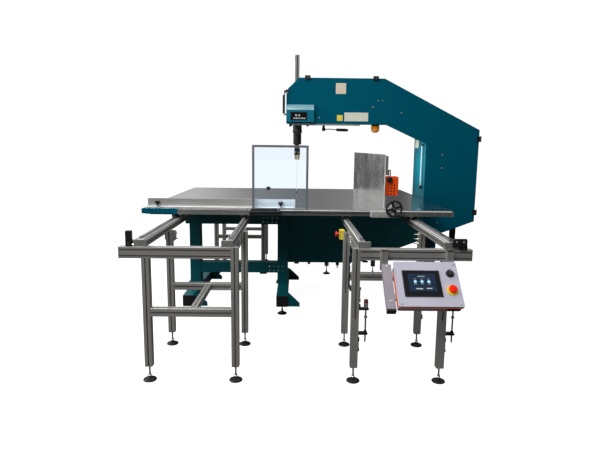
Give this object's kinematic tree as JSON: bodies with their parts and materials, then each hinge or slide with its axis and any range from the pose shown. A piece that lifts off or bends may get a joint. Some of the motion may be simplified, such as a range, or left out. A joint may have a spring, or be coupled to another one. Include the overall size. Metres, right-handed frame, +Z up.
{
  "type": "vertical band saw with sliding table",
  "caption": "C-frame vertical band saw with a sliding table on rails, rip and cross fences, guard window, swinging front door and tilted control station.",
  "frame": {"origin": "centre of the bounding box on the floor", "axes": "+X to the operator's right, +Y away from the operator to the rear, +Z up"},
  "size_m": [3.0315, 3.7792, 2.384],
  "materials": {
    "arm_rail": "anodised",
    "blade_guide": "black with brass jaw",
    "body_leg": "satin",
    "body_shell": "satin",
    "control_bracket_left": "anodised",
    "control_housing": "satin",
    "control_panel": "satin",
    "cross_fence": "polished",
    "cross_fence_knob_left": "moulded",
    "cross_fence_knob_right": "moulded",
    "depth_readout": "satin",
    "door_handle": "moulded",
    "door_hinge_lower": "satin",
    "door_hinge_upper": "satin",
    "door_latch_left": "satin",
    "door_latch_right": "satin",
    "drive_belt": "matt",
    "drive_motor": "painted",
    "end_stop_left": "moulded",
    "end_stop_right": "moulded",
    "fence_box": "satin",
    "fence_carriage": "cast",
    "fence_handwheel": "moulded",
    "floor_pin_left": "blackened",
    "floor_pin_right": "blackened",
    "front_door": "satin",
    "front_left_frame": "anodised",
    "front_rail": "anodised",
    "front_right_frame": "anodised",
    "guard_frame": "anodised",
    "guard_pane": "clear",
    "guard_slide": "moulded",
    "guide_clamp_lever": "moulded",
    "guide_post": "ground",
    "guide_sleeve_lower": "moulded",
    "guide_sleeve_upper": "moulded",
    "light_tube": "opal",
    "lower_cover": "satin",
    "machine_stand": "satin",
    "mode_switch": "moulded",
    "motor_pulley": "machined",
    "panel_stop_button": "gloss",
    "rail_inner_left": "anodised",
    "rail_inner_right": "anodised",
    "rail_outer_left": "anodised",
    "rail_outer_right": "anodised",
    "rear_left_frame": "anodised",
    "rear_right_frame": "anodised",
    "rip_fence": "polished",
    "saw_band": "ground",
    "side_stop_box": "moulded",
    "side_stop_button": "gloss",
    "table_frame": "satin",
    "table_top": "polished",
    "touch_screen": "gloss",
    "warning_beacon": "translucent",
    "wheel_lower_left": "machined",
    "wheel_lower_right": "machined",
    "wheel_upper_left": "machined",
    "wheel_upper_right": "machined"
  },
  "bodies": {
    "machine": {"arm_rail": "arm_rail", "body_leg": "body_leg", "body_shell": "body_shell", "control_bracket_left": "control_bracket_left", "control_housing": "control_housing", "control_panel": "control_panel", "drive_belt": "drive_belt", "drive_motor": "drive_motor", "end_stop_left": "end_stop_left", "end_stop_right": "end_stop_right", "front_left_frame": "front_left_frame", "front_right_frame": "front_right_frame", "guide_sleeve_upper": "guide_sleeve_upper", "light_tube": "light_tube", "lower_cover": "lower_cover", "machine_stand": "machine_stand", "rail_inner_left": "rail_inner_left", "rail_inner_right": "rail_inner_right", "rail_outer_left": "rail_outer_left", "rail_outer_right": "rail_outer_right", "rear_left_frame": "rear_left_frame", "rear_right_frame": "rear_right_frame", "saw_band": "saw_band", "side_stop_box": "side_stop_box", "touch_screen": "touch_screen", "warning_beacon": "warning_beacon"},
    "sliding_table": {"table_top": "table_top", "table_frame": "table_frame", "front_rail": "front_rail", "cross_fence": "cross_fence"},
    "cross_knob_left": {"cross_fence_knob_left": "cross_fence_knob_left"},
    "cross_knob_right": {"cross_fence_knob_right": "cross_fence_knob_right"},
    "guard": {"guard_frame": "guard_frame", "guard_pane": "guard_pane", "guard_slide": "guard_slide"},
    "rip_fence_unit": {"rip_fence": "rip_fence", "fence_carriage": "fence_carriage", "fence_box": "fence_box"},
    "handwheel": {"fence_handwheel": "fence_handwheel"},
    "door": {"front_door": "front_door", "door_hinge_upper": "door_hinge_upper", "door_hinge_lower": "door_hinge_lower", "door_handle": "door_handle", "depth_readout": "depth_readout"},
    "latch_left": {"door_latch_left": "door_latch_left"},
    "latch_right": {"door_latch_right": "door_latch_right"},
    "guide": {"guide_post": "guide_post", "guide_sleeve_lower": "guide_sleeve_lower", "blade_guide": "blade_guide"},
    "clamp_lever": {"guide_clamp_lever": "guide_clamp_lever"},
    "band_wheel_lower_left": {"wheel_lower_left": "wheel_lower_left"},
    "band_wheel_lower_right": {"wheel_lower_right": "wheel_lower_right"},
    "band_wheel_upper_left": {"wheel_upper_left": "wheel_upper_left"},
    "band_wheel_upper_right": {"wheel_upper_right": "wheel_upper_right"},
    "pulley": {"motor_pulley": "motor_pulley"},
    "switch": {"mode_switch": "mode_switch"},
    "panel_stop": {"panel_stop_button": "panel_stop_button"},
    "side_stop": {"side_stop_button": "side_stop_button"},
    "pin_left": {"floor_pin_left": "floor_pin_left"},
    "pin_right": {"floor_pin_right": "floor_pin_right"}
  },
  "joints": [
    {"name": "table_slide", "type": "slide", "parent": "machine", "child": "sliding_table", "axis": [0, 1, 0], "range_m": [-0.86, 0]},
    {"name": "rip_fence_slide", "type": "slide", "parent": "sliding_table", "child": "rip_fence_unit", "axis": [1, 0, 0], "range_m": [-0.5, 0.42]},
    {"name": "handwheel_turn", "type": "hinge", "parent": "rip_fence_unit", "child": "handwheel", "pos_m": [0.47075, -0.75841, 1.021], "axis": [0, 1, 0], "range_deg": [-1450, 1220]},
    {"name": "guard_shift", "type": "slide", "parent": "sliding_table", "child": "guard", "axis": [1, 0, 0], "range_m": [-0.25, 0.05]},
    {"name": "cross_knob_left_turn", "type": "hinge", "parent": "sliding_table", "child": "cross_knob_left", "pos_m": [-1.40025, -0.61791, 1.04], "axis": [0, 0, 1], "range_deg": [0, 720]},
    {"name": "cross_knob_right_turn", "type": "hinge", "parent": "sliding_table", "child": "cross_knob_right", "pos_m": [-0.41375, -0.61791, 1.04], "axis": [0, 0, 1], "range_deg": [0, 720]},
    {"name": "door_swing", "type": "hinge", "parent": "machine", "child": "door", "pos_m": [1.50775, 0.33259, 1.2], "axis": [0, 0, 1], "range_deg": [0, 115]},
    {"name": "latch_left_turn", "type": "hinge", "parent": "door", "child": "latch_left", "pos_m": [-0.18825, 0.34159, 2.1405], "axis": [0, 1, 0], "range_deg": [0, 90]},
    {"name": "latch_right_turn", "type": "hinge", "parent": "door", "child": "latch_right", "pos_m": [0.46675, 0.34159, 2.1405], "axis": [0, 1, 0], "range_deg": [0, 90]},
    {"name": "guide_lift", "type": "slide", "parent": "machine", "child": "guide", "axis": [0, 0, 1], "range_m": [-0.16, 0]},
    {"name": "clamp_lever_turn", "type": "hinge", "parent": "machine", "child": "clamp_lever", "pos_m": [-0.02225, 0.43159, 1.66], "axis": [0, 0, 1], "range_deg": [-45, 45]},
    {"name": "drive_wheel_spin", "type": "hinge", "parent": "machine", "child": "band_wheel_lower_left", "pos_m": [-0.09075, 0.43959, 0.55], "axis": [0, 1, 0], "continuous": true},
    {"name": "lower_right_wheel_spin", "type": "hinge", "parent": "machine", "child": "band_wheel_lower_right", "pos_m": [1.26475, 0.43959, 0.92], "axis": [0, 1, 0], "continuous": true},
    {"name": "upper_left_wheel_spin", "type": "hinge", "parent": "machine", "child": "band_wheel_upper_left", "pos_m": [-0.09075, 0.43959, 1.931], "axis": [0, 1, 0], "continuous": true},
    {"name": "upper_right_wheel_spin", "type": "hinge", "parent": "machine", "child": "band_wheel_upper_right", "pos_m": [1.26475, 0.43959, 1.55], "axis": [0, 1, 0], "continuous": true},
    {"name": "motor_pulley_spin", "type": "hinge", "parent": "machine", "child": "pulley", "pos_m": [0.31975, 0.51659, 0.6], "axis": [0, 1, 0], "continuous": true},
    {"name": "mode_switch_turn", "type": "hinge", "parent": "machine", "child": "switch", "pos_m": [0.62575, -1.7199, 0.74847], "axis": [0, -0.6871, 0.7266], "range_deg": [-90, 0]},
    {"name": "panel_stop_press", "type": "slide", "parent": "machine", "child": "panel_stop", "axis": [0, 0.6871, -0.7266], "range_m": [0, 0.004], "stiffness_N_per_m": 1500},
    {"name": "side_stop_press", "type": "slide", "parent": "machine", "child": "side_stop", "axis": [1, 0, 0], "range_m": [0, 0.004], "stiffness_N_per_m": 1500},
    {"name": "floor_pin_left_lift", "type": "slide", "parent": "machine", "child": "pin_left", "axis": [0, 0, 1], "range_m": [0, 0.038]},
    {"name": "floor_pin_right_lift", "type": "slide", "parent": "machine", "child": "pin_right", "axis": [0, 0, 1], "range_m": [0, 0.038]}
  ],
  "couplings": [
    {"joint": "handwheel_turn", "follows": "rip_fence_slide", "rad_per_m": 50},
    {"joint": "lower_right_wheel_spin", "follows": "drive_wheel_spin", "ratio": 1},
    {"joint": "upper_left_wheel_spin", "follows": "drive_wheel_spin", "ratio": 1},
    {"joint": "upper_right_wheel_spin", "follows": "drive_wheel_spin", "ratio": 1},
    {"joint": "motor_pulley_spin", "follows": "drive_wheel_spin", "ratio": 3}
  ]
}
